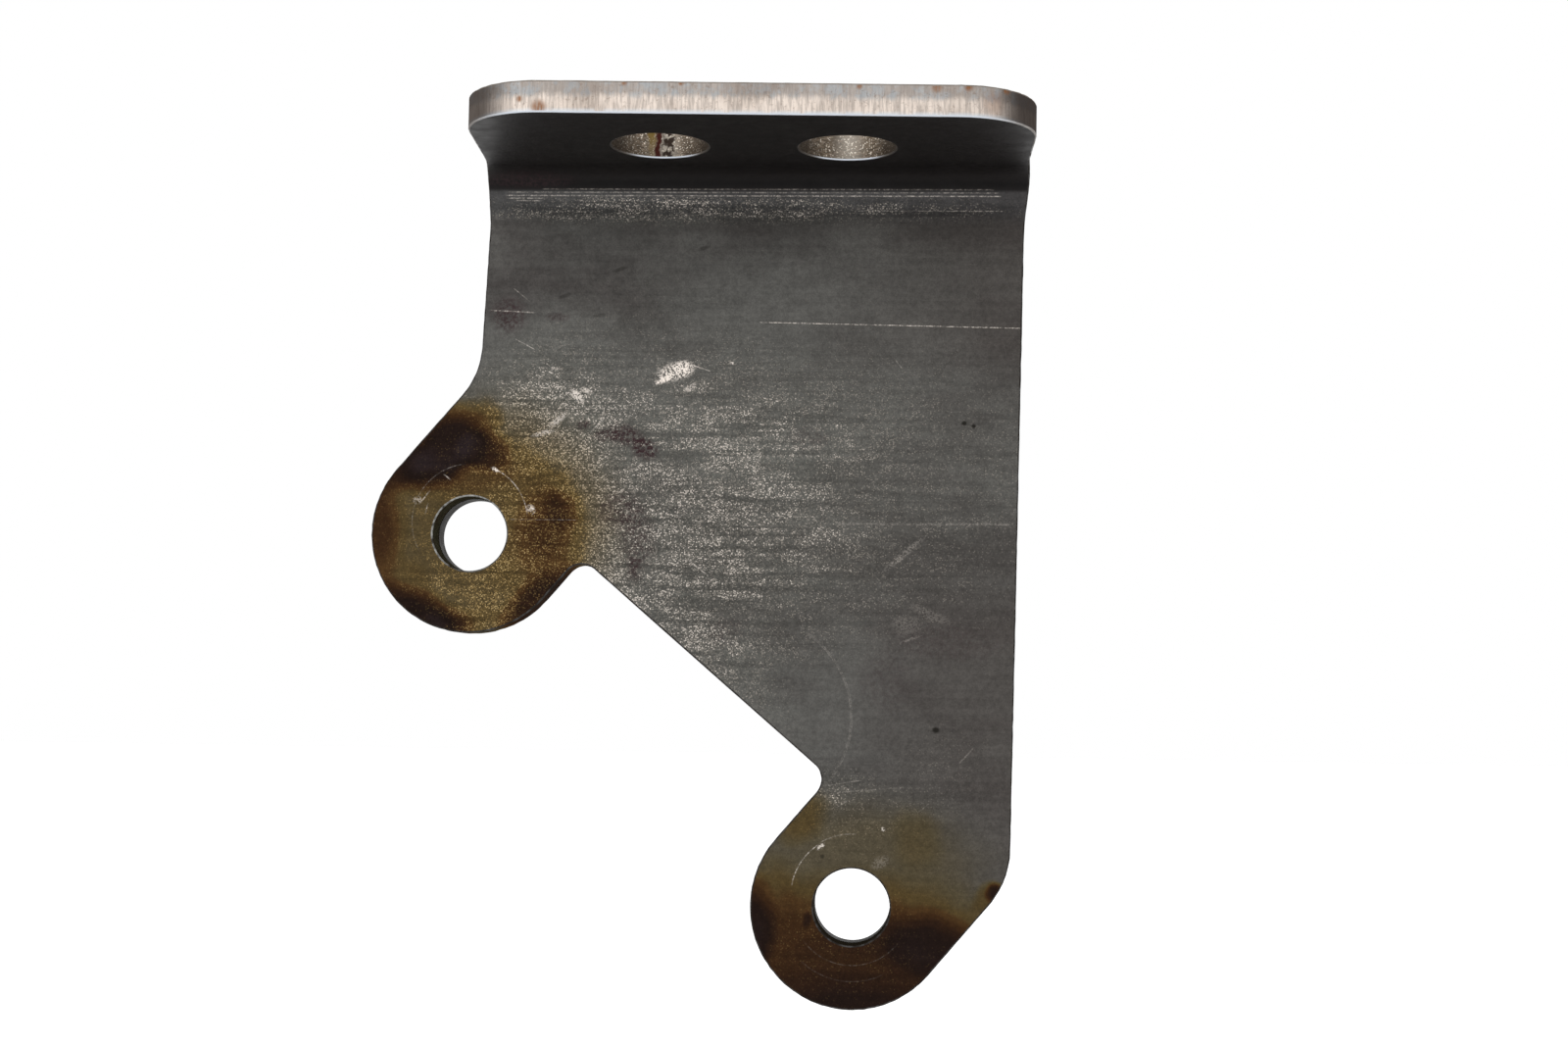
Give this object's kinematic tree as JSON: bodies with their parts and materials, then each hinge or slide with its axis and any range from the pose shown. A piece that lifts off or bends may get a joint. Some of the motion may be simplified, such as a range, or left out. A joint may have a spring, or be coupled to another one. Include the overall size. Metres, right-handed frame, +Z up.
{
  "type": "antenna mount bracket",
  "caption": "Folded steel bracket: a bored shelf carries antennas, and round lugs backed by welded spacers bolt to a carrier.",
  "frame": {"origin": "on the shelf's top face, midway between the two antenna holes", "axes": "+X along the fold, +Y from the antenna side back to the carrier that the lugs bolt to, +Z up out of the shelf's top face"},
  "size_m": [0.1391, 0.0618, 0.182],
  "materials": {
    "mill_scale_steel": "dark hot-rolled mill scale with weld heat tint round the lugs, bright sheared edges",
    "spacer_steel": "turned bare steel, lightly tinted",
    "weld_metal": "as-laid weld bead"
  },
  "bodies": {
    "root": {"bracket_plate": "mill_scale_steel", "upper_spacer": "spacer_steel", "lower_spacer": "spacer_steel", "upper_weld": "weld_metal", "lower_weld": "weld_metal"}
  },
  "joints": []
}
